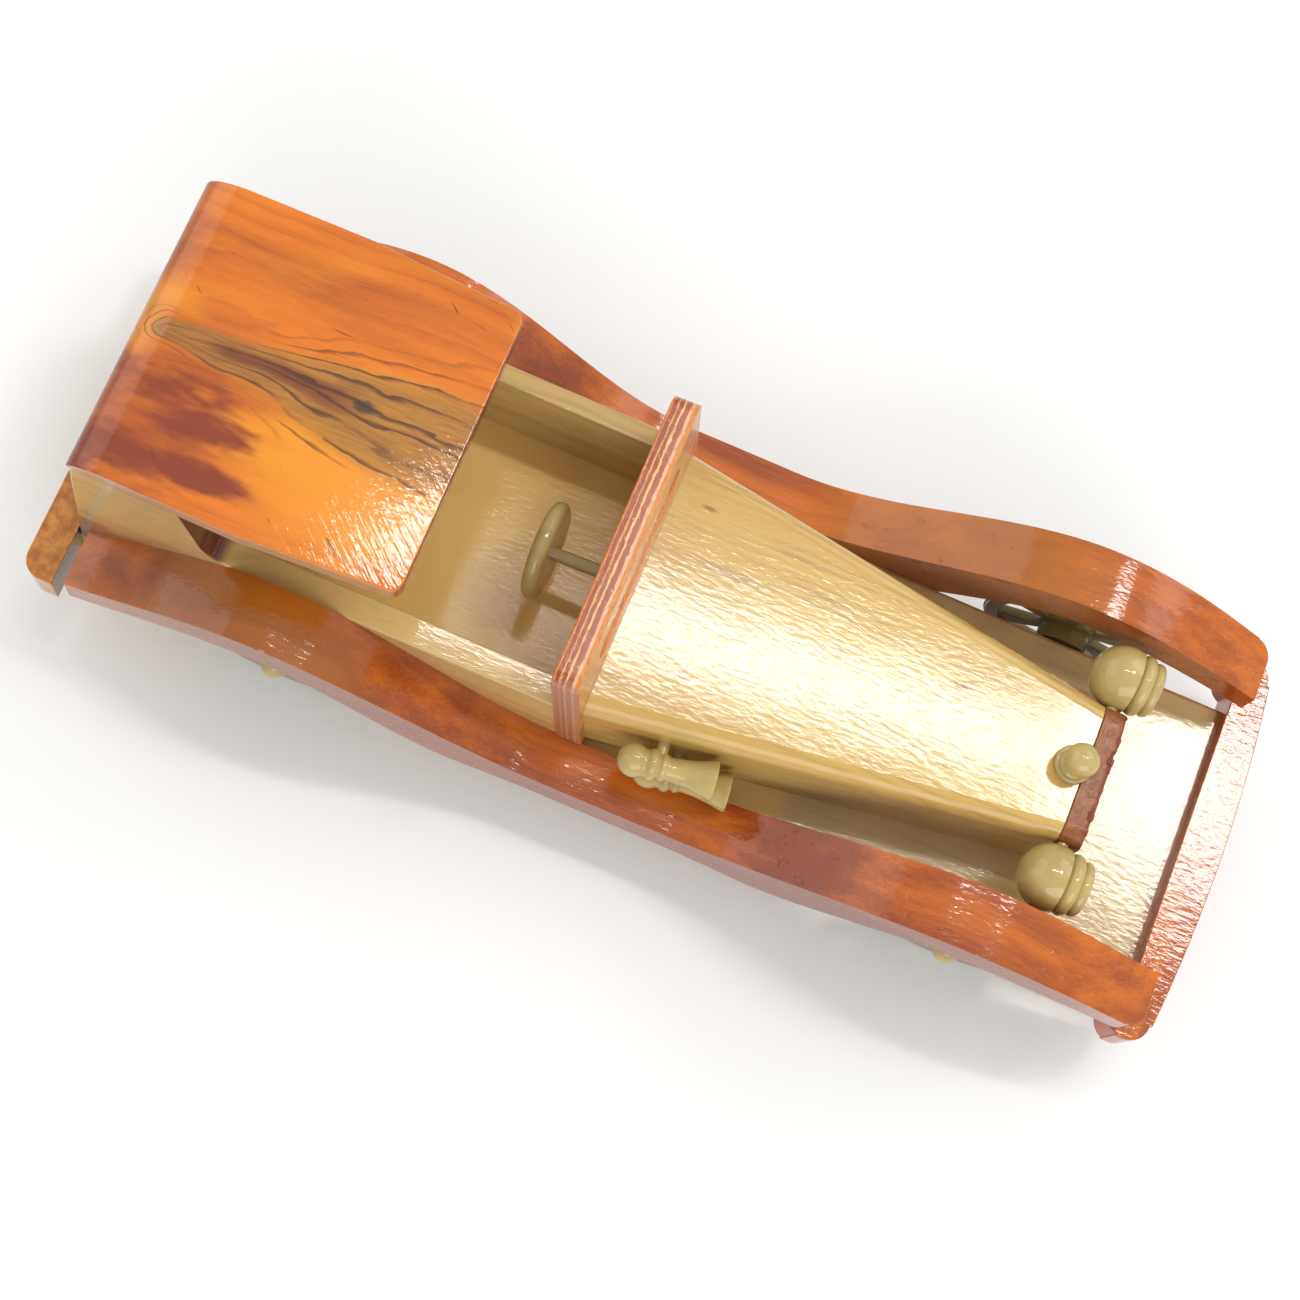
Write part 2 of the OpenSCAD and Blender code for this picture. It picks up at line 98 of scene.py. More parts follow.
def make_lights():
    for light in LIGHTS:
        area_light(*light)
    world = bpy.data.worlds.new("studio")
    world.use_nodes = True
    world.node_tree.nodes["Background"].inputs["Color"].default_value = (1.0, 1.0, 1.0, 1.0)
    world.node_tree.nodes["Background"].inputs["Strength"].default_value = WORLD_STRENGTH
    bpy.context.scene.world = world
    bpy.context.scene.view_settings.view_transform = "Standard"


# ---------------------------------------------------------------- material building blocks


# Where a Mix node set to RGBA keeps its colour sockets
MIX_A = 6
MIX_B = 7
MIX_RESULT = 2
LOW_SHEEN = 0.1


class Maker:
    """A node material under construction. An input takes a number, a vector or another node's socket."""

    def __init__(self, name):
        self.material = bpy.data.materials.new(name)
        self.material.use_nodes = True
        self.tree = self.material.node_tree
        self.shader = self.tree.nodes["Principled BSDF"]

    def node(self, kind, inputs=None, **settings):
        made = self.tree.nodes.new("ShaderNode" + kind)
        for key, value in settings.items():
            setattr(made, key, value)
        for key, value in (inputs or {}).items():
            self.feed(made.inputs[key], value)
        return made

    def feed(self, socket, value):
        if isinstance(value, bpy.types.NodeSocket):
            self.tree.links.new(value, socket)
        else:
            socket.default_value = value

    def math(self, operation, a, b=0.5):
        return self.node("Math", {0: a, 1: b}, operation=operation).outputs[0]

    def vector(self, operation, a, b=(0.0, 0.0, 0.0)):
        made = self.node("VectorMath", {0: a, 1: b}, operation=operation)
        scalar = operation in ("DOT_PRODUCT", "LENGTH", "DISTANCE")
        return made.outputs["Value" if scalar else "Vector"]

    def place(self):
        """Where a point is on the rest model, in millimetres."""
        here = self.node("TexCoord").outputs["Object"]
        return self.vector("MULTIPLY", here, (1 / MM, 1 / MM, 1 / MM))

    def split(self, vector):
        made = self.node("SeparateXYZ", {"Vector": vector})
        return made.outputs["X"], made.outputs["Y"], made.outputs["Z"]

    def facing(self, axis):
        """How far a face points along an axis: 1 along it and -1 against it."""
        normal = self.node("NewGeometry").outputs["True Normal"]
        return self.vector("DOT_PRODUCT", normal, axis)

    def noise(self, at, scale, detail=3.0, roughness=0.5):
        inputs = {"Vector": at, "Scale": scale, "Detail": detail, "Roughness": roughness}
        return self.node("TexNoise", inputs).outputs["Fac"]

    def remap(self, value, low, high, to_low=0.0, to_high=1.0):
        inputs = {"Value": value, "From Min": low, "From Max": high, "To Min": to_low, "To Max": to_high}
        return self.node("MapRange", inputs, interpolation_type="SMOOTHSTEP").outputs["Result"]

    def ramp(self, factor, stops):
        made = self.node("ValToRGB", {"Fac": factor})
        points = made.color_ramp.elements
        while len(points) < len(stops):
            points.new(0.5)
        for point, (position, colour) in zip(points, stops):
            point.position = position
            point.color = (*colour, 1.0)
        return made.outputs["Color"]

    def mix(self, factor, a, b):
        """Colour a where the factor is 0, and colour b where it is 1."""
        made = self.node("Mix", data_type="RGBA")
        self.feed(made.inputs["Factor"], factor)
        for socket, colour in ((MIX_A, a), (MIX_B, b)):
            linked = isinstance(colour, bpy.types.NodeSocket)
            self.feed(made.inputs[socket], colour if linked else (*colour, 1.0))
        return made.outputs[MIX_RESULT]

    def weigh(self, mask, amount):
        return self.math("MULTIPLY", mask, amount)

    def bump(self, height, distance, normal=None):
        inputs = {"Height": height, "Distance": distance}
        if normal is not None:
            inputs["Normal"] = normal
        return self.node("Bump", inputs).outputs["Normal"]

    def finish(self, colour, roughness, coat, coat_roughness, normal=None, coat_normal=None):
        """A coloured base under a clear coat. The coat has its own roughness and bumps."""
        self.feed(self.shader.inputs["Base Color"], colour)
        self.feed(self.shader.inputs["Roughness"], roughness)
        self.feed(self.shader.inputs["Coat Weight"], coat)
        self.shader.inputs["Coat Roughness"].default_value = coat_roughness
        self.shader.inputs["Specular IOR Level"].default_value = LOW_SHEEN
        if normal is not None:
            self.feed(self.shader.inputs["Normal"], normal)
        if coat_normal is not None:
            self.feed(self.shader.inputs["Coat Normal"], coat_normal)
        return self.material


# How much the wood's figure is stretched along its grain, for grain along each axis
GRAIN_X = (0.055, 1.0, 1.0)
GRAIN_Y = (1.0, 0.055, 1.0)
GRAIN_Z = (1.0, 1.0, 0.055)


SEED_STEP = (37.1, 61.7, 23.3)


# How deep the ripples in the lacquer are on each kind of piece, in metres
RIPPLE_DEPTH = {
    "roof": 0.000025, "pine": 0.000028, "wall": 0.00004, "radiator": 0.00004, "board": 0.00005,
    "fender": 0.00005, "bumper": 0.00007, "plywood": 0.00008, "amber": 0.0001,
}
# How deep the grain is in the wood under the lacquer, in metres
FINE_GRAIN = 0.00005
OPEN_GRAIN = 0.00006
ROUGH_GRAIN = 0.00008


class Wood:
    """The figure of one board: soft clouds, long bands, growth rings, fine fibres and short dark dashes.

    sway is how far its lines wander sideways and spacing is how far apart its rings are, in millimetres.
    """

    def __init__(self, m, grain, seed, sway=5.0, spacing=3.0):
        self.rest = m.place()
        self.here = m.vector("ADD", self.rest, tuple(seed * step for step in SEED_STEP))
        bend = m.node("TexNoise", {"Vector": self.here, "Scale": 0.022, "Detail": 1.0}).outputs["Color"]
        shift = m.vector("MULTIPLY", m.vector("SUBTRACT", bend, (0.5, 0.5, 0.5)), (0.0, sway, sway))
        long = m.vector("MULTIPLY", m.vector("ADD", self.here, shift), grain)
        self.cloud = m.noise(m.vector("MULTIPLY", long, (3.0, 1.0, 1.0)), 0.05, 2.0)
        self.band = m.noise(long, 0.19, 2.0, 0.55)
        self.fibre = m.noise(long, 1.9, 3.0, 0.6)
        self.dash = m.remap(m.noise(long, 1.15, 2.0, 0.75), 0.70, 0.76)
        slow = m.noise(m.vector("MULTIPLY", long, (0.5, 1.0, 1.0)), 0.045, 1.0, 0.4)
        field = m.math("MULTIPLY", slow, 44.0 / spacing)
        saw = m.math("FRACT", m.math("ADD", field, m.math("MULTIPLY", self.fibre, 0.25)))
        self.ring = m.math("MULTIPLY", m.remap(saw, 0.45, 0.95), m.remap(saw, 1.0, 0.95))
        self.ripple = m.noise(m.vector("MULTIPLY", self.here, (0.45, 1.0, 1.0)), 0.95, 2.0, 0.5)
        self.swell = m.noise(self.here, 0.13, 1.0, 0.5)

    def lacquer(self, m, kind):
        """The lacquer's own surface: a slow swell, brush ripples and slightly sunken grain."""
        height = m.math("ADD", m.math("MULTIPLY", self.swell, 0.8), m.math("MULTIPLY", self.ripple, 0.8))
        height = m.math("ADD", height, m.math("MULTIPLY", self.fibre, 0.14))
        return m.bump(height, RIPPLE_DEPTH[kind])


def spot(m, wood, centre, size, squeeze):
    """1 in the middle of an oval mark drawn out along X, and 0 outside it."""
    scale = (squeeze / size, 1.0 / size, 1.0 / size)
    away = m.vector("MULTIPLY", m.vector("SUBTRACT", wood.rest, centre), scale)
    wobble = m.math("MULTIPLY", m.noise(m.vector("MULTIPLY", wood.rest, (squeeze, 1.0, 1.0)), 0.9, 2.0), 0.9)
    return m.remap(m.math("ADD", m.vector("LENGTH", away), wobble), 1.6, 0.8)


HOOD_LIGHT = (0.58, 0.390, 0.115)
HOOD_DEEP = (0.46, 0.270, 0.062)
# Across this stretch of X, in millimetres, the dull cockpit floor, lightened as painted light against the
# roof's shade, gives way to the board's glossy front
COCKPIT_END = (38.0, 44.0)
# Painted light: a brighter pine that lifts the cockpit floor out of the roof's shade
COCKPIT_PAINTED_LIGHT = (0.84, 0.570, 0.160)
BOARD_LIGHT = (0.61, 0.440, 0.195)
BOARD_DEEP = (0.53, 0.365, 0.145)
WALL_LIGHT = (0.55, 0.385, 0.140)
WALL_DEEP = (0.46, 0.300, 0.095)
PINE_DASH = (0.22, 0.125, 0.045)
KNOT = (0.24, 0.085, 0.018)
AMBER_GLOW = (0.37, 0.125, 0.010)
STAIN_BRIGHT = (0.68, 0.175, 0.010)
STAIN_ORANGE = (0.46, 0.105, 0.006)
STAIN_RED = (0.215, 0.034, 0.007)
STAIN_DARK = (0.075, 0.016, 0.008)
BLEED = (0.34, 0.105, 0.035)
PILLAR_EDGE = (0.105, 0.020, 0.010)
CAB_FOOT = (0.27, 0.105, 0.034)
GLUE_LINE = (0.16, 0.07, 0.03)


def pine_colour(m, wood, light, deep, marks=()):
    """Pale wood from its light and deep colours, with rings, fibres, dashes and any marks."""
    base = m.mix(m.remap(wood.cloud, 0.35, 0.70, 0.0, 0.6), light, deep)
    base = m.mix(m.remap(wood.band, 0.45, 0.70, 0.0, 0.35), base, deep)
    line = m.math("MULTIPLY", wood.ring, m.remap(wood.band, 0.38, 0.62))
    base = m.mix(m.weigh(line, 0.42), base, tuple(0.70 * c for c in deep))
    base = m.mix(m.remap(wood.fibre, 0.50, 0.74, 0.0, 0.30), base, tuple(0.8 * c for c in deep))
    base = m.mix(m.weigh(wood.dash, 0.6), base, PINE_DASH)
    for centre, size, squeeze, colour, strength in marks:
        base = m.mix(m.weigh(spot(m, wood, centre, size, squeeze), strength), base, colour)
    return base


def stain_colour(m, wood, red):
    """Stain colour: red is how far it leans from orange, from 0 to 1."""
    tone = m.math("ADD", m.math("MULTIPLY", wood.band, 0.40), m.math("MULTIPLY", wood.cloud, 0.70))
    tone = m.math("ADD", tone, m.math("MULTIPLY", wood.fibre, 0.22))
    stops = [(0.0, STAIN_RED), (0.42, STAIN_ORANGE), (1.0, STAIN_BRIGHT)]
    base = m.ramp(m.remap(tone, 0.38 + 0.2 * red, 0.92 + 0.2 * red), stops)
    base = m.mix(m.weigh(wood.ring, 0.22), base, STAIN_RED)
    return m.mix(m.weigh(wood.dash, 0.6), base, STAIN_DARK)


def pine(name, grain, seed, light, deep, marks=()):
    """Clear-lacquered pine with fine, close rings."""
    m = Maker(name)
    wood = Wood(m, grain, seed, 3.0, 2.6)
    base = pine_colour(m, wood, light, deep, marks)
    return m.finish(base, 0.45, 1.0, 0.10, m.bump(wood.fibre, FINE_GRAIN), wood.lacquer(m, "pine"))


def stained(name, grain, seed, red, ends):
    """Stained wood, redder on the end grain, which faces along ends."""
    m = Maker(name)
    wood = Wood(m, grain, seed)
    base = stain_colour(m, wood, red)
    base = m.mix(m.remap(m.math("ABSOLUTE", m.facing(ends)), 0.6, 0.95, 0.0, 0.5), base, STAIN_RED)
    return m.finish(base, 0.5, 1.0, 0.10, m.bump(wood.fibre, FINE_GRAIN), wood.lacquer(m, "bumper"))


def fender_stain(name, seed, red, glow_x, pits):
    """A fender: brown-orange, amber round glow_x, with painted shade darkening its steep faces, pitted near
    the front.
    """
    m = Maker(name)
    wood = Wood(m, GRAIN_X, seed, 8.0, 4.0)
    x = m.split(wood.rest)[0]
    base = stain_colour(m, wood, red)
    drift = m.math("MULTIPLY", m.math("SUBTRACT", wood.cloud, 0.5), 60.0)
    glow = m.math("ABSOLUTE", m.math("ADD", m.math("SUBTRACT", x, glow_x), drift))
    base = m.mix(m.remap(glow, 42.0, 8.0, 0.0, 0.6), base, AMBER_GLOW)
    # Painted shade: faces that turn away from upward are darkened towards the red stain
    up_for_painted_shade = m.facing((0.0, 0.0, 1.0))
    base = m.mix(m.remap(up_for_painted_shade, 0.75, 0.2, 0.0, 0.55), base, STAIN_RED)
    coat = wood.lacquer(m, "fender")
    dents = m.remap(m.noise(m.vector("MULTIPLY", wood.here, (0.7, 1.0, 1.0)), 0.42, 1.0), 0.66, 0.72)
    dents = m.math("MULTIPLY", dents, m.remap(x, 20.0, 45.0))
    coat = m.bump(m.weigh(dents, pits), -0.00035, coat)
    return m.finish(base, 0.5, 1.0, 0.09, m.bump(wood.fibre, FINE_GRAIN), coat)


def board_pine(name, seed, marks):
    """The base board: stain from the pieces glued to it has bled along its edges."""
    m = Maker(name)
    wood = Wood(m, GRAIN_X, seed)
    base = pine_colour(m, wood, BOARD_LIGHT, BOARD_DEEP, marks)
    x, y = m.split(wood.rest)[:2]
    wobble = m.math("MULTIPLY", m.math("SUBTRACT", m.noise(wood.rest, 0.16, 4.0, 0.65), 0.5), 6.0)
    front, side = (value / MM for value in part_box("base_board")[1][:2])
    to_front = m.math("ADD", x, wobble)
    base = m.mix(m.remap(to_front, front - 1.9, front - 1.4, 0.0, 0.85), base, BLEED)
    to_side = m.math("ADD", m.math("ABSOLUTE", y), m.math("MULTIPLY", wobble, 0.12))
    base = m.mix(m.remap(to_side, side - 0.9, side - 0.3, 0.0, 0.7), base, BLEED)
    # Painted light: the cockpit floor under the roof is mixed towards a brighter pine
    base = m.mix(m.remap(x, *reversed(COCKPIT_END), 0.0, 0.75), base, COCKPIT_PAINTED_LIGHT)
    coat = m.remap(x, *COCKPIT_END, 0.25, 1.0)
    return m.finish(base, 0.45, coat, 0.12, m.bump(wood.fibre, OPEN_GRAIN), wood.lacquer(m, "board"))


def wall_pine(name, seed):
    """Side panels: dark on the pillar's front edge and smeared amber at the foot of the cab."""
    m = Maker(name)
    wood = Wood(m, GRAIN_X, seed)
    base = pine_colour(m, wood, WALL_LIGHT, WALL_DEEP)
    x, _, z = m.split(wood.rest)
    roof_front, _, roof_top = (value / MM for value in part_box("roof")[1])
    cab = m.remap(x, roof_front - 20, roof_front - 30)
    forward = m.remap(m.facing((1.0, 0.0, 0.0)), 0.02, 0.2)
    edge = m.math("MULTIPLY", m.math("MULTIPLY", forward, m.remap(z, 54.0, 55.5)), cab)
    base = m.mix(m.weigh(edge, 0.95), base, PILLAR_EDGE)
    smear = m.math("ADD", m.math("MULTIPLY", wood.swell, 26.0), z)
    foot = m.math("MULTIPLY", m.remap(smear, 66.0, 48.0), m.remap(x, -98.0, -116.0))
    base = m.mix(m.weigh(foot, 0.9), base, CAB_FOOT)
    glue = m.remap(z, roof_top - 7.3, roof_top - 6.4)
    base = m.mix(m.weigh(glue, 0.7), base, GLUE_LINE)
    return m.finish(base, 0.5, 1.0, 0.10, m.bump(wood.fibre, FINE_GRAIN), wood.lacquer(m, "wall"))


# The roof board's heart: closed near the rear, opening towards the front edge, in millimetres
HEART_TIP_X = -119.5
HEART_HALF_WIDTH = 2.7
HEART_OPENING = 0.115
HEART_LEAN = -0.02
HEART_OLIVE = (0.32, 0.150, 0.026)
HEART_BROWN = (0.19, 0.080, 0.022)
HEART_LINE = (0.060, 0.022, 0.010)
HEART_CORE = (0.150, 0.030, 0.014)
ROOF_CLOUD = (0.74, 0.270, 0.012)
ROOF_SHADE = (0.200, 0.028, 0.009)
# ROOF_EDGE darkens the roof's front face and, as painted shade, its rolled rear edge
ROOF_EDGE = (0.150, 0.026, 0.013)
RAW_EDGE = (0.44, 0.265, 0.145)
ROOF_KNOT_PLACE = (-76.0, 0.5, 89.0)
ROOF_KNOT = (0.040, 0.022, 0.018)
SHADE_PLACE = (-121.0, -23.0, 89.0)


def roof_wood(name, seed):
    """Stained board whose growth rings loop round an olive heart."""
    m = Maker(name)
    wood = Wood(m, GRAIN_X, seed, 8.0, 5.0)
    x, y = m.split(wood.rest)[:2]
    squeezed = m.vector("MULTIPLY", wood.rest, (0.45, 1.0, 1.0))
    bend = m.math("SUBTRACT", m.noise(squeezed, 0.06, 2.0, 0.5), 0.5)
    ahead = m.math("SUBTRACT", x, HEART_TIP_X)
    side = m.math("ADD", y, m.math("MULTIPLY", bend, 10.0))
    side = m.math("ADD", side, m.math("MULTIPLY", ahead, -HEART_LEAN))
    width = m.math("ADD", m.math("MULTIPLY", m.math("MAXIMUM", ahead, 0.0), HEART_OPENING), HEART_HALF_WIDTH)
    behind = m.math("DIVIDE", m.math("MINIMUM", ahead, 0.0), 4.0)
    beside = m.math("DIVIDE", side, width)
    squares = m.math("ADD", m.math("MULTIPLY", behind, behind), m.math("MULTIPLY", beside, beside))
    loop = m.math("SQRT", squares)
    fine = m.math("MULTIPLY", m.noise(m.vector("MULTIPLY", wood.rest, (0.22, 1.0, 1.0)), 0.20, 3.0, 0.6), 1.3)
    rings = m.math("FRACT", m.math("ADD", m.math("MULTIPLY", loop, 2.3), fine))
    line = m.math("MULTIPLY", m.remap(rings, 0.66, 0.93), m.remap(rings, 1.0, 0.96))
    line = m.math("MULTIPLY", line, m.remap(wood.band, 0.38, 0.56))
    base = stain_colour(m, wood, -0.45)
    flame = m.noise(m.vector("MULTIPLY", wood.rest, (0.30, 1.0, 1.0)), 0.10, 4.0, 0.6)
    patch = m.noise(squeezed, 0.045, 2.0, 0.5)
    warm = m.remap(m.math("ADD", patch, m.math("MULTIPLY", flame, 0.25)), 0.56, 0.72)
    base = m.mix(m.weigh(m.math("MULTIPLY", warm, m.remap(loop, 6.0, 2.0)), 0.85), base, ROOF_CLOUD)
    olive = m.mix(m.remap(wood.fibre, 0.35, 0.72), HEART_OLIVE, HEART_BROWN)
    base = m.mix(m.remap(loop, 1.35, 0.6, 0.0, 0.80), base, olive)
    streak = m.math("MULTIPLY", m.remap(loop, 0.50, 0.15), m.remap(ahead, 6.0, 14.0))
    streak = m.math("MULTIPLY", streak, m.remap(ahead, 48.0, 34.0))
    base = m.mix(m.weigh(streak, 0.8), base, HEART_CORE)
    base = m.mix(m.weigh(m.math("MULTIPLY", line, m.remap(loop, 2.4, 1.0)), 0.85), base, HEART_LINE)
    base = m.mix(m.weigh(spot(m, wood, ROOF_KNOT_PLACE, 1.7, 0.55), 0.85), base, ROOF_KNOT)
    zone = m.vector("MULTIPLY", m.vector("SUBTRACT", wood.rest, SHADE_PLACE), (0.040, 0.080, 0.0))
    lick = m.math("MULTIPLY", m.math("SUBTRACT", flame, 0.5), 2.6)
    rough = m.math("ADD", m.math("MULTIPLY", bend, 1.5), lick)
    shade = m.remap(m.math("ADD", m.vector("LENGTH", zone), rough), 1.20, 0.70)
    shade = m.math("MULTIPLY", shade, m.remap(flame, 0.62, 0.42, 0.45, 0.95))
    base = m.mix(shade, base, ROOF_SHADE)
    # Painted shade: the rolled rear edge darkens towards the back as it turns away from the light
    rear = m.remap(m.math("ADD", x, m.math("MULTIPLY", wood.swell, 8.0)), -119.0, -127.0)
    base = m.mix(m.weigh(rear, 0.8), base, ROOF_EDGE)
    turned = m.node("VectorRotate", {"Vector": wood.rest, "Angle": 0.7}, rotation_type="Z_AXIS")
    slant = turned.outputs["Vector"]
    tick = m.noise(m.vector("MULTIPLY", slant, (0.12, 1.0, 1.0)), 0.8, 1.0, 0.5)
    tick = m.math("MULTIPLY", m.remap(tick, 0.73, 0.77), m.remap(loop, 1.6, 3.0))
    base = m.mix(m.weigh(tick, 0.7), base, HEART_LINE)
    across = m.math("ABSOLUTE", m.facing((0.0, 1.0, 0.0)))
    base = m.mix(m.remap(across, 0.80, 0.95, 0.0, 0.95), base, RAW_EDGE)
    base = m.mix(m.remap(m.facing((1.0, 0.0, 0.0)), 0.4, 0.9, 0.0, 0.9), base, ROOF_EDGE)
    sanded = m.noise(m.vector("MULTIPLY", slant, (0.10, 1.0, 1.0)), 1.0, 2.0, 0.6)
    coat = m.bump(sanded, 0.00004, wood.lacquer(m, "roof"))
    return m.finish(base, 0.5, 1.0, 0.07, m.bump(wood.fibre, FINE_GRAIN), coat)


# The colour bands across the plate's edge: how far through it each one ends, from 0 to 1, and its colour
PLY_BANDS = (
    (0.10, (0.60, 0.165, 0.018)), (0.25, (0.255, 0.046, 0.018)), (0.31, (0.68, 0.290, 0.050)),
    (0.45, (0.290, 0.062, 0.026)), (0.52, (0.72, 0.420, 0.130)), (0.72, (0.340, 0.082, 0.036)),
    (0.83, (0.66, 0.370, 0.180)), (1.00, (0.56, 0.185, 0.026)),
)
# Painted highlight: pale flecks standing in for glints off the rough, torn plies
PLY_GLINT = (0.85, 0.60, 0.38)
PLY_FRONT = ((0.66, 0.330, 0.100), (0.50, 0.165, 0.030))
PLY_REAR = (0.50, 0.130, 0.018)
PLY_END = (0.36, 0.16, 0.085)


def ply_wood(name, seed, origin, across, thickness):
    """Colour bands with torn boundaries, told apart by how deep a point is in the plate."""
    m = Maker(name)
    wood = Wood(m, GRAIN_Y, seed)
    depth = m.vector("DOT_PRODUCT", m.vector("SUBTRACT", wood.rest, origin), across)
    long = m.vector("MULTIPLY", wood.here, (1.0, 0.22, 1.0))
    rag = m.math("SUBTRACT", m.noise(long, 1.3, 4.0, 0.75), 0.5)
    depth = m.math("ADD", m.math("DIVIDE", depth, thickness), m.math("MULTIPLY", rag, 0.17))
    stops = []
    start = 0.0
    for end, colour in PLY_BANDS:
        stops += [(start + 0.010, colour), (end - 0.010, colour)]
        start = end
    base = m.ramp(depth, stops)
    base = m.mix(m.remap(m.noise(long, 2.4, 2.0, 0.7), 0.52, 0.70, 0.0, 0.55), base, STAIN_RED)
    # Painted highlight: pale flecks as glints on the torn ply edges
    glint_flecks = m.remap(m.noise(m.vector("MULTIPLY", wood.here, (1.0, 0.5, 1.0)), 2.2, 1.0), 0.68, 0.74)
    base = m.mix(m.weigh(glint_flecks, 0.5), base, PLY_GLINT)
    face = m.remap(m.facing(across), 0.75, 0.95)
    front = m.mix(m.remap(wood.band, 0.35, 0.65), *PLY_FRONT)
    base = m.mix(face, base, front)
    rear = m.remap(m.facing(across), -0.75, -0.95)
    base = m.mix(m.weigh(rear, 0.8), base, PLY_REAR)
    end = m.remap(m.math("ABSOLUTE", m.facing((0.0, 1.0, 0.0))), 0.6, 0.9)
    base = m.mix(m.weigh(end, 0.6), base, PLY_END)
    torn = m.noise(m.vector("MULTIPLY", wood.here, (2.2, 0.5, 2.2)), 0.9, 3.0, 0.65)
    coat = m.bump(torn, 0.00022, wood.lacquer(m, "plywood"))
    return m.finish(base, 0.5, 1.0, 0.10, m.bump(wood.fibre, ROUGH_GRAIN), coat)


RADIATOR_BROWN = ((0.30, 0.105, 0.030), (0.20, 0.055, 0.016))
RADIATOR_FIBRE = (0.14, 0.04, 0.02)
RADIATOR_TORN = (0.20, 0.045, 0.022)
AMBER_RAMP = [(0.0, (0.36, 0.115, 0.022)), (1.0, (0.62, 0.255, 0.045))]
AMBER_FRONT_SHADE = (0.085, 0.024, 0.014)
KHAKI_LOW = (0.38, 0.285, 0.092)
KHAKI_HIGH = (0.46, 0.355, 0.122)
KHAKI_SPECK = (0.22, 0.15, 0.06)
DOWEL_BEIGE = ((0.62, 0.46, 0.26), (0.46, 0.31, 0.15))
FLOOR_TINT = [(0.0, (0.80, 0.805, 0.80)), (1.0, (0.835, 0.84, 0.835))]


def radiator_wood(name, seed):
    """Brown end grain, darker where the front edge has torn."""
    m = Maker(name)
    wood = Wood(m, GRAIN_Z, seed)
    x, _, z = m.split(wood.rest)
    front, _, top = (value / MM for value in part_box("radiator")[1])
    base = m.mix(m.remap(m.noise(wood.here, 0.5, 4.0, 0.6), 0.3, 0.7), *RADIATOR_BROWN)
    base = m.mix(m.weigh(m.remap(wood.fibre, 0.5, 0.75), 0.4), base, RADIATOR_FIBRE)
    torn = m.math("MULTIPLY", m.remap(x, front - 1.5, front - 0.6), m.remap(z, top - 4, top - 2))
    base = m.mix(m.weigh(torn, 0.7), base, RADIATOR_TORN)
    coat = m.bump(m.noise(wood.here, 1.1, 3.0, 0.6), 0.00014, wood.lacquer(m, "radiator"))
    return m.finish(base, 0.5, 0.4, 0.12, m.bump(wood.fibre, ROUGH_GRAIN), coat)


def amber_wood(name, seed):
    """Mottled amber wood, with painted shade making its forward face, which looks into the dark gap before
    the fenders, nearly black.
    """
    m = Maker(name)
    wood = Wood(m, GRAIN_Y, seed)
    mottle = m.noise(wood.here, 0.33, 4.0, 0.65)
    base = m.ramp(m.remap(mottle, 0.3, 0.72), AMBER_RAMP)
    base = m.mix(m.weigh(wood.dash, 0.5), base, STAIN_DARK)
    # Painted shade: the forward face looks into the narrow gap under the fenders' ends and is darkened nearly
    # to black
    forward = m.remap(m.facing((1.0, 0.0, 0.0)), 0.3, 0.8)
    base = m.mix(m.weigh(forward, 0.85), base, AMBER_FRONT_SHADE)
    return m.finish(base, 0.5, 1.0, 0.05, m.bump(wood.fibre, OPEN_GRAIN), wood.lacquer(m, "amber"))


def khaki_enamel(name, seed, shade=1.0):
    """Khaki enamel, slightly uneven. A shade below 1 darkens it as painted shade, for pieces that stand in
    shadow.
    """
    m = Maker(name)
    here = m.vector("ADD", m.place(), (seed * 11.0, seed * 5.0, seed * 7.0))
    cloud = m.noise(here, 0.12, 3.0, 0.55)
    speck = m.remap(m.noise(here, 1.4, 2.0, 0.5), 0.68, 0.74)
    low = tuple(c * shade for c in KHAKI_LOW)
    high = tuple(c * shade for c in KHAKI_HIGH)
    base = m.ramp(m.remap(cloud, 0.3, 0.7), [(0.0, low), (1.0, high)])
    base = m.mix(m.weigh(speck, 0.3), base, KHAKI_SPECK)
    return m.finish(base, 0.4, 1.0, 0.05, None, m.bump(m.noise(here, 0.6, 2.0, 0.5), 0.00003))


def bare_dowel(name, seed):
    m = Maker(name)
    wood = Wood(m, GRAIN_Y, seed)
    base = m.mix(m.remap(wood.fibre, 0.4, 0.7), *DOWEL_BEIGE)
    return m.finish(base, 0.6, 0.3, 0.2, m.bump(wood.fibre, OPEN_GRAIN))


def plain_floor():
    m = Maker("pale_floor")
    here = m.place()
    tint = m.ramp(m.noise(here, 0.004, 2.0), FLOOR_TINT)
    return m.finish(tint, 0.6, 0.0, 0.3, m.bump(m.noise(here, 0.8, 2.0), 0.00002))


# ---------------------------------------------------------------- meshes


WELD_DISTANCE = 2e-6
FLAT_ANGLE = math.radians(0.6)
FENDER_STATION = 3 * MM


def new_piece(name, mesh, material, body, slot, *replaced):
    piece = bpy.data.objects.new(name, mesh)
    bpy.context.scene.collection.objects.link(piece)
    piece.data.materials.clear()
    piece.data.materials.append(material)
    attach(piece, body)
    if replaced:
        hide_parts(*replaced)
    return piece


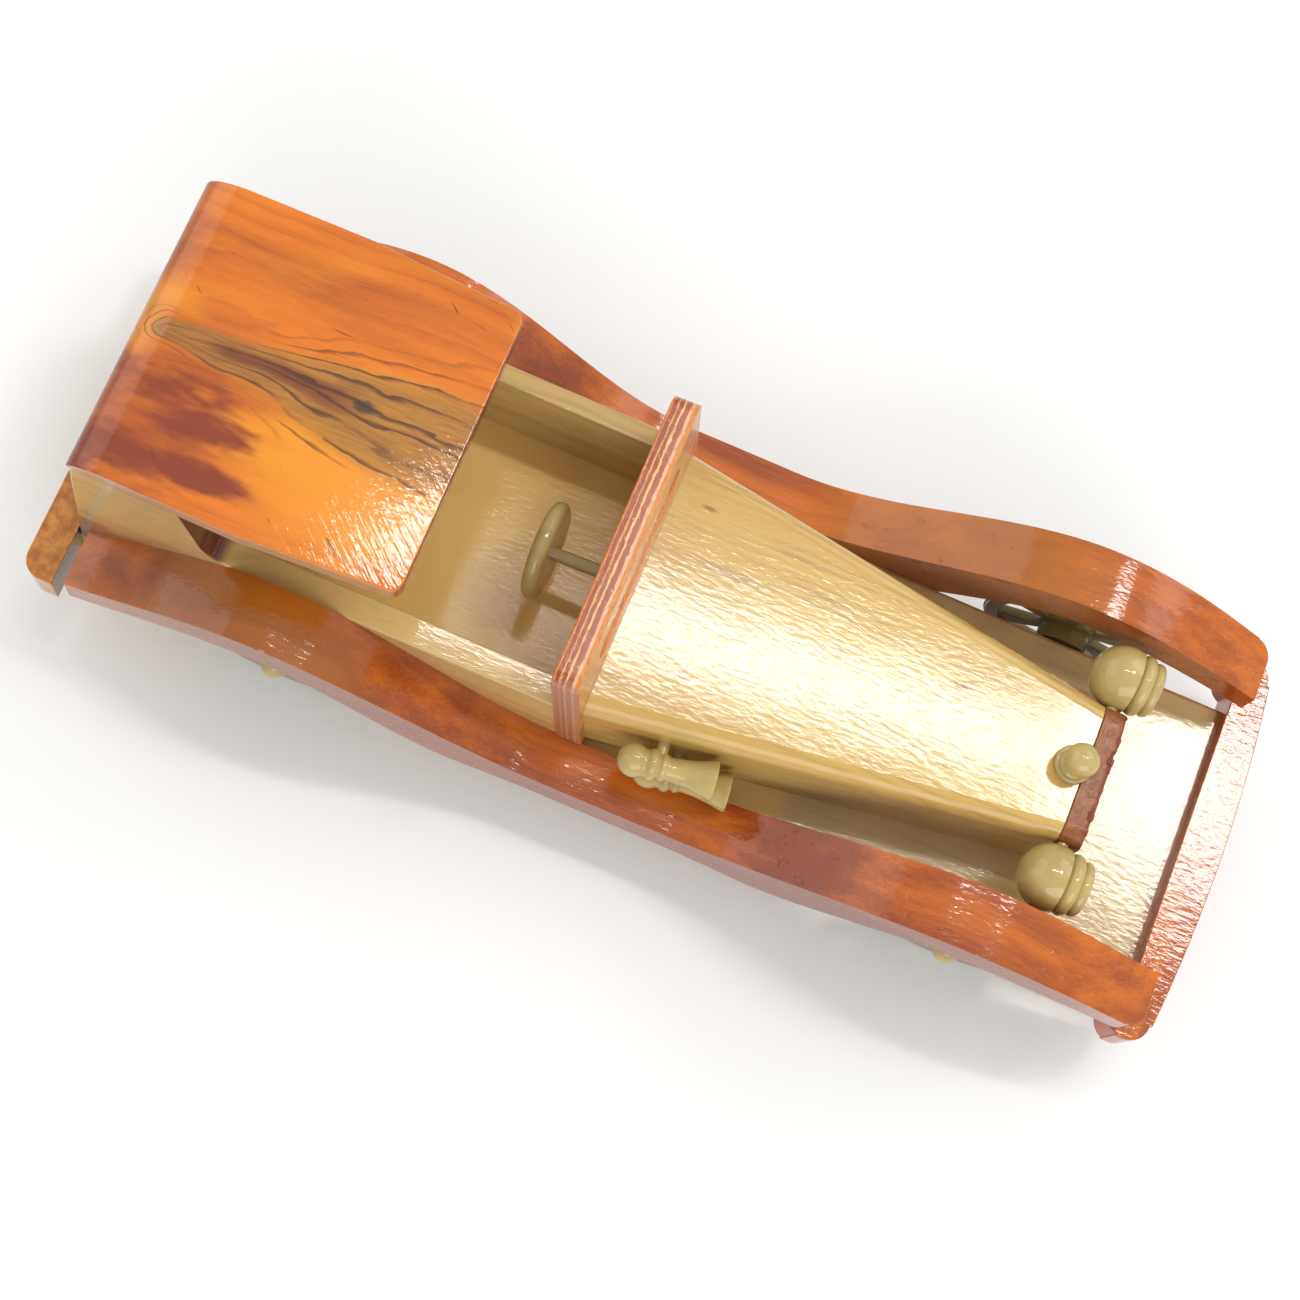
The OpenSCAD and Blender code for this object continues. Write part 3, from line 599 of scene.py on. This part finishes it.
def fan_normals(work):
    """Shading normals weighted by area within each smooth fan, so broad flat faces stay flat."""
    work.faces.index_update()
    work.verts.index_update()
    weighted = {face: face.normal * face.calc_area() for face in work.faces}
    normals = {}
    for vert in work.verts:
        waiting = set(vert.link_faces)
        while waiting:
            fan = [waiting.pop()]
            for face in fan:
                for edge in face.edges:
                    if edge.smooth and vert in edge.verts:
                        joined = [other for other in edge.link_faces if other in waiting]
                        waiting.difference_update(joined)
                        fan += joined
            normal = sum((weighted[face] for face in fan), Vector()).normalized()
            for face in fan:
                normals[face.index, vert.index] = normal
    return normals


def to_mesh(name, work, sharp_angle=40.0):
    """Turns the working mesh into a smooth-shaded one with its creases kept sharp."""
    limit = math.radians(sharp_angle)
    work.normal_update()
    for edge in work.edges:
        edge.smooth = len(edge.link_faces) == 2 and edge.calc_face_angle(0.0) < limit
    for face in work.faces:
        face.smooth = True
    normals = fan_normals(work)
    mesh = bpy.data.meshes.new(name)
    work.to_mesh(mesh)
    work.free()
    corners = [normals[face.index, v] for face in mesh.polygons for v in face.vertices]
    mesh.normals_split_custom_set(corners)
    return mesh


def cad_copy(node):
    """The CAD node's shape as one clean closed mesh with flat faces merged."""
    work = bmesh.new()
    work.from_mesh(NODES[node].data)
    bmesh.ops.remove_doubles(work, verts=work.verts, dist=WELD_DISTANCE)
    bmesh.ops.dissolve_limit(work, angle_limit=FLAT_ANGLE, verts=work.verts, edges=work.edges)
    return work


def ease(work, size, segments, chosen=None, sharp=28.0):
    """Rounds the sharp edges by size, in millimetres: all of them, or those chosen passes."""
    limit = math.radians(sharp)
    edges = [e for e in work.edges if len(e.link_faces) == 2 and e.calc_face_angle(0.0) > limit]
    if chosen:
        edges = [e for e in edges if chosen((e.verts[0].co + e.verts[1].co) / 2)]
    bmesh.ops.bevel(
        work, geom=edges, offset=size * MM, offset_type="OFFSET", segments=segments, profile=0.5,
        affect="EDGES", clamp_overlap=True,
    )


def sawn_piece(name, node, material, slot, size, body="root", segments=4):
    """A sawn board: the CAD shape with every sharp edge eased to a small round."""
    work = cad_copy(node)
    ease(work, size, segments)
    return new_piece(name, to_mesh(name, work), material, body, slot, node)


def fender_piece(name, node, material):
    """A fender: its outer top edge is rounded far more than the rest."""
    work = cad_copy(node)
    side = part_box("base_board")[1][1]
    span = [v.co.x for v in work.verts]
    ends = (min(span) + 0.3 * MM, max(span) - 0.3 * MM)

    def is_outer_top(middle):
        if abs(middle.y) < side + 4 * MM or not ends[0] < middle.x < ends[1]:
            return False
        return middle.z > middle_height(middle.x)

    stations = {}
    for v in work.verts:
        key = round(v.co.x / FENDER_STATION)
        lo, hi = stations.get(key, (v.co.z, v.co.z))
        stations[key] = (min(lo, v.co.z), max(hi, v.co.z))

    def middle_height(x):
        lo, hi = stations.get(round(x / FENDER_STATION), (0.0, 0.0))
        return (lo + hi) / 2

    ease(work, 3.0, 5, is_outer_top, 50.0)
    ease(work, 0.9, 3, None, 50.0)
    return new_piece(name, to_mesh(name, work, 45.0), material, "root", "stained_wood", node)


def lathe(outline, turns=96):
    """Turns (along, radius) points, in millimetres, about the X axis, closed at both ends."""
    work = bmesh.new()
    rings = []
    for along, radius in outline:
        if radius < 1e-3:
            rings.append([work.verts.new((along * MM, 0, 0))])
            continue
        ring = []
        for i in range(turns):
            a = 2 * math.pi * i / turns
            ring.append(work.verts.new((along * MM, radius * MM * math.cos(a), radius * MM * math.sin(a))))
        rings.append(ring)
    for first, second in zip(rings, rings[1:]):
        for i in range(turns):
            j = (i + 1) % turns
            if len(first) == 1:
                work.faces.new((first[0], second[j], second[i]))
            elif len(second) == 1:
                work.faces.new((first[i], first[j], second[0]))
            else:
                work.faces.new((first[i], first[j], second[j], second[i]))
    bmesh.ops.recalc_face_normals(work, faces=work.faces)
    return work


def arc(centre, radius, start, end, steps):
    """Points of an arc in (along, radius) space. Angles are in degrees from the +along direction."""
    points = []
    for i in range(steps + 1):
        a = math.radians(start + (end - start) * i / steps)
        points.append((centre[0] + radius * math.cos(a), centre[1] + radius * math.sin(a)))
    return points


def turned_piece(name, outline, place, material, body, slot, *replaced):
    work = lathe(outline)
    work.transform(place)
    return new_piece(name, to_mesh(name, work, 50.0), material, body, slot, *replaced)


def headlight_outline(radius):
    """A ball, a groove, two ring sections and a flat front, from back to front."""
    ball_end = math.degrees(math.acos(0.30))
    outline = arc((0, 0), radius, 180, ball_end, 40)
    outline += arc((4.25, radius - 2.25), 1.75, 150, 8, 14)
    outline += arc((6.85, radius - 2.75), 1.45, 150, -20, 14)
    outline += [(8.05, radius - 4.2), (8.05, 0)]
    outline[0] = (-radius, 0)
    return outline


def horn_outline():
    """A bulb, a bead ring, a small ring, a waist and a flared bell with a crisp rim, from back to front."""
    outline = arc((3.9, 0.0), 3.9, 180, 55, 22)
    outline += arc((8.0, 2.2), 1.55, 140, 30, 10)
    outline += arc((10.5, 2.2), 1.1, 140, 40, 8)
    outline += [(11.8, 2.75), (13.5, 2.85), (15.5, 3.1), (17.5, 3.45), (19.5, 3.95), (21.0, 4.4)]
    outline += arc((22.2, 4.3), 0.4, 110, -30, 6)
    outline += [(22.5, 3.9), (21.6, 3.1), (20.6, 1.6), (20.3, 0)]
    outline[0] = (0, 0)
    return outline


def cap_outline():
    """A flange, a neck and an egg-shaped knob, from the bottom up."""
    outline = [(0.05, 0), (0.05, 3.7)]
    outline += arc((0.75, 3.7), 0.7, -90, 90, 8)
    outline = [(a, max(r, 0)) for a, r in outline]
    outline += [(1.5, 3.2), (1.9, 2.5), (2.4, 2.3)]
    for i in range(2, 31):
        a = math.radians(180 - 6 * i)
        egg = 4.0 * math.sin(a) * (1 + 0.06 * math.cos(a))
        outline.append((6.0 + 4.0 * math.cos(a), max(egg, 0)))
    outline[-1] = (10.0, 0)
    return outline


def radiator_mesh():
    """A slab whose front top edge has torn out in steps along its width."""
    low, high = (Vector(v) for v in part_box("radiator"))
    corner = 4.0 * MM
    stations = 150
    work = bmesh.new()
    rings = []
    for i in range(stations + 1):
        y = low.y + (high.y - low.y) * i / stations
        into = max(0.0, corner - min(y - low.y, high.y - y))
        top = high.z - corner + math.sqrt(max(0.0, corner * corner - into * into))
        step = noise.cell(Vector((y / (1.7 * MM), 3.0, 7.0)))
        rag = noise.noise(Vector((y / (0.7 * MM), 0.0, 2.0))) * 0.5 + 0.5
        torn = (0.10 + 1.15 * step * step + 0.35 * rag) * MM
        chip = (0.3 + 1.2 * step + 0.5 * rag) * MM
        profile = (
            (low.x, low.z), (low.x, top - 0.5 * MM), (low.x + 0.4 * MM, top), (high.x - torn - 0.9 * MM, top),
            (high.x - torn - 0.25 * MM, top - 0.15 * MM), (high.x - torn, top - 0.5 * chip),
            (high.x - 0.5 * torn, top - chip), (high.x, top - chip - 0.5 * MM), (high.x, low.z + 0.3 * MM),
            (high.x - 0.3 * MM, low.z),
        )
        rings.append([work.verts.new((x, y, z)) for x, z in profile])
    for first, second in zip(rings, rings[1:]):
        for k in range(len(first)):
            n = (k + 1) % len(first)
            work.faces.new((first[k], first[n], second[n], second[k]))
    work.faces.new(rings[0])
    work.faces.new(list(reversed(rings[-1])))
    bmesh.ops.recalc_face_normals(work, faces=work.faces)
    return to_mesh("radiator_torn", work, 38.0)


make_camera()
make_lights()

# ---------------------------------------------------------------- pieces

WINDSCREEN_RAKE = math.radians(5.5)
WINDSCREEN_THICKNESS = 6.3
# The horns' bulb radius, how far their bell's rim stands off their axis and bulb to bell, in millimetres
BULB_RADIUS = 4.0
BELL_RADIUS = 4.7
BULB_TO_BELL = 18.6
CAP_HEIGHT = 10.0
CAP_SET_BACK = 0.35
HOOD_TAPER = math.radians(8.4)
CAP_TILT = math.radians(4.0)

# Knots, specks and dark streaks: centre, size, squeeze (a smaller one draws it out further), colour, strength
hood_marks = (
    ((66.1, 6.9, 52.0), 2.0, 0.6, (0.42, 0.200, 0.030), 0.8),
    ((66.1, 6.9, 52.0), 0.8, 0.6, KNOT, 0.8),
    ((-1.6, 21.6, 53.4), 0.7, 0.3, PINE_DASH, 0.8),
    ((8.0, 9.0, 53.0), 1.2, 0.10, (0.34, 0.235, 0.115), 0.6),
    ((30.0, 13.0, 53.0), 0.9, 0.06, (0.36, 0.225, 0.085), 0.55),
    ((22.0, 19.0, 53.0), 0.8, 0.08, (0.34, 0.215, 0.080), 0.55),
    ((72.0, 11.0, 52.0), 0.9, 0.08, (0.36, 0.215, 0.075), 0.55),
)
board = board_pine("floor_pine", 3, (((-35.7, -8.4, 25.0), 1.1, 0.8, KNOT, 0.85),))
wall = wall_pine("wall_pine", 5)
hood = pine("hood_pine", GRAIN_X, 1, HOOD_LIGHT, HOOD_DEEP, hood_marks)
back = pine("back_pine", GRAIN_Y, 9, WALL_LIGHT, WALL_DEEP)
left_stain = fender_stain("left_fender_stain", 10, 0.35, 60.0, 1.0)
right_stain = fender_stain("right_fender_stain", 13, 0.60, -88.0, 0.2)
khaki = khaki_enamel("khaki_enamel", 1)
# The steering wheel and shaft take the khaki darkened to 0.85 as painted shade, for the shadow in the cockpit
khaki_shaft_painted_shade = khaki_enamel("khaki_enamel_shaft_painted_shade", 2, 0.85)
# The wheels take the khaki darkened to 0.4 as painted shade, for the shadow under the fenders
khaki_painted_shade = khaki_enamel("khaki_enamel_painted_shade", 3, 0.4)
dowel = bare_dowel("bare_dowel", 4)

sawn_piece("base_board_sawn", "base_board", board, "pale_wood", 0.6)
sawn_piece("left_side_panel_sawn", "left_side_panel", wall, "pale_wood", 0.35)
sawn_piece("right_side_panel_sawn", "right_side_panel", wall, "pale_wood", 0.45)
sawn_piece("back_panel_sawn", "back_panel", back, "pale_wood", 0.3)
sawn_piece("hood_planed", "hood", hood, "pale_wood", 0.5)
sawn_piece("roof_rolled", "roof", roof_wood("roof_stain", 2), "stained_wood", 0.7)
bumper_stain = stained("front_bumper_stain", GRAIN_Y, 7, 0.3, (0.0, 1.0, 0.0))
sawn_piece("front_bumper_bar", "front_bumper", bumper_stain, "stained_wood", 1.2)
sawn_piece("rear_bumper_bar", "rear_bumper", amber_wood("rear_bumper_amber", 8), "amber_wood", 1.4)
fender_piece("left_fender_plank", "left_fender", left_stain)
fender_piece("right_fender_plank", "right_fender", right_stain)

screen_low, screen_high = (Vector(v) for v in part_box("windscreen"))
screen_across = Vector((math.cos(WINDSCREEN_RAKE), 0.0, math.sin(WINDSCREEN_RAKE)))
# The plate leans back, so its rear top corner is its rearmost point and lies below its front one
rear_top = screen_high.z - WINDSCREEN_THICKNESS * MM * math.sin(WINDSCREEN_RAKE)
screen_origin = Vector((screen_low.x, 0.0, rear_top)) / MM
plies = ply_wood("windscreen_plies", 4, tuple(screen_origin), tuple(screen_across), WINDSCREEN_THICKNESS)
sawn_piece("windscreen_plate", "windscreen", plies, "plywood", 0.5)

radiator_brown = radiator_wood("radiator_brown", 6)
new_piece("radiator_torn", radiator_mesh(), radiator_brown, "root", "radiator_wood", "radiator")

for side in ("left", "right"):
    low, high = (Vector(v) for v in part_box(side + "_headlight"))
    radius = (high.z - low.z) / 2
    centre = Vector((low.x + radius, (low.y + high.y) / 2, (low.z + high.z) / 2))
    turned_piece(
        side + "_headlight_turned", headlight_outline(radius / MM), Matrix.Translation(centre), khaki,
        "root", "khaki_bead", side + "_headlight",
    )

for rank in ("upper", "lower"):
    low, high = (Vector(v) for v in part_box(rank + "_horn"))
    heading = Vector((math.cos(HOOD_TAPER), math.sin(HOOD_TAPER), 0.0))
    bell_y = high.y - BELL_RADIUS * MM * math.cos(HOOD_TAPER)
    bulb_y = bell_y - BULB_TO_BELL * MM * heading.y
    bulb = Vector((low.x + BULB_RADIUS * MM, bulb_y, (low.z + high.z) / 2))
    start = bulb - BULB_RADIUS * MM * heading
    turned_piece(
        rank + "_horn_turned", horn_outline(),
        Matrix.Translation(start) @ Matrix.Rotation(HOOD_TAPER, 4, "Z"), khaki,
        "root", "khaki_bead", rank + "_horn",
    )

low, high = (Vector(v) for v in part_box("radiator_cap"))
cap_axis = Matrix.Rotation(CAP_TILT, 4, "Y") @ Matrix.Rotation(math.radians(-90), 4, "Y")
cap_foot = Vector(((low.x + high.x) / 2 - CAP_SET_BACK * MM, 0.0, high.z - CAP_HEIGHT * MM))
turned_piece(
    "radiator_cap_turned", cap_outline(), Matrix.Translation(cap_foot) @ cap_axis, khaki,
    "root", "khaki_bead", "radiator_cap",
)

for axle in ("front", "rear"):
    for side in ("left", "right"):
        node = axle + "_" + side + "_wheel"
        sawn_piece(node + "_sawn", node, khaki_painted_shade, "khaki_bead", 0.3, axle + "_wheels", 2)

# CAD nodes shown as they are, with a better material
shown = {
    khaki_shaft_painted_shade: ("steering_wheel", "steering_shaft"),
    khaki: (
        "headlight_pegs", "horn_pegs", "front_left_hub_cap", "front_right_hub_cap", "rear_left_hub_cap",
        "rear_right_hub_cap",
    ),
    dowel: ("front_axle", "rear_axle", "bumper_dowels", "fender_dowels", "hood_dowels"),
}
for material, names in shown.items():
    for node in names:
        NODES[node].data.materials.clear()
        NODES[node].data.materials.append(material)

FLOOR_HALF = 3.0


def make_floor():
    half = FLOOR_HALF
    mesh = bpy.data.meshes.new("floor")
    corners = [(-half, -half, 0), (half, -half, 0), (half, half, 0), (-half, half, 0)]
    mesh.from_pydata(corners, [], [(0, 1, 2, 3)])
    ground = bpy.data.objects.new("floor", mesh)
    bpy.context.scene.collection.objects.link(ground)
    mesh.materials.append(plain_floor())


make_floor()
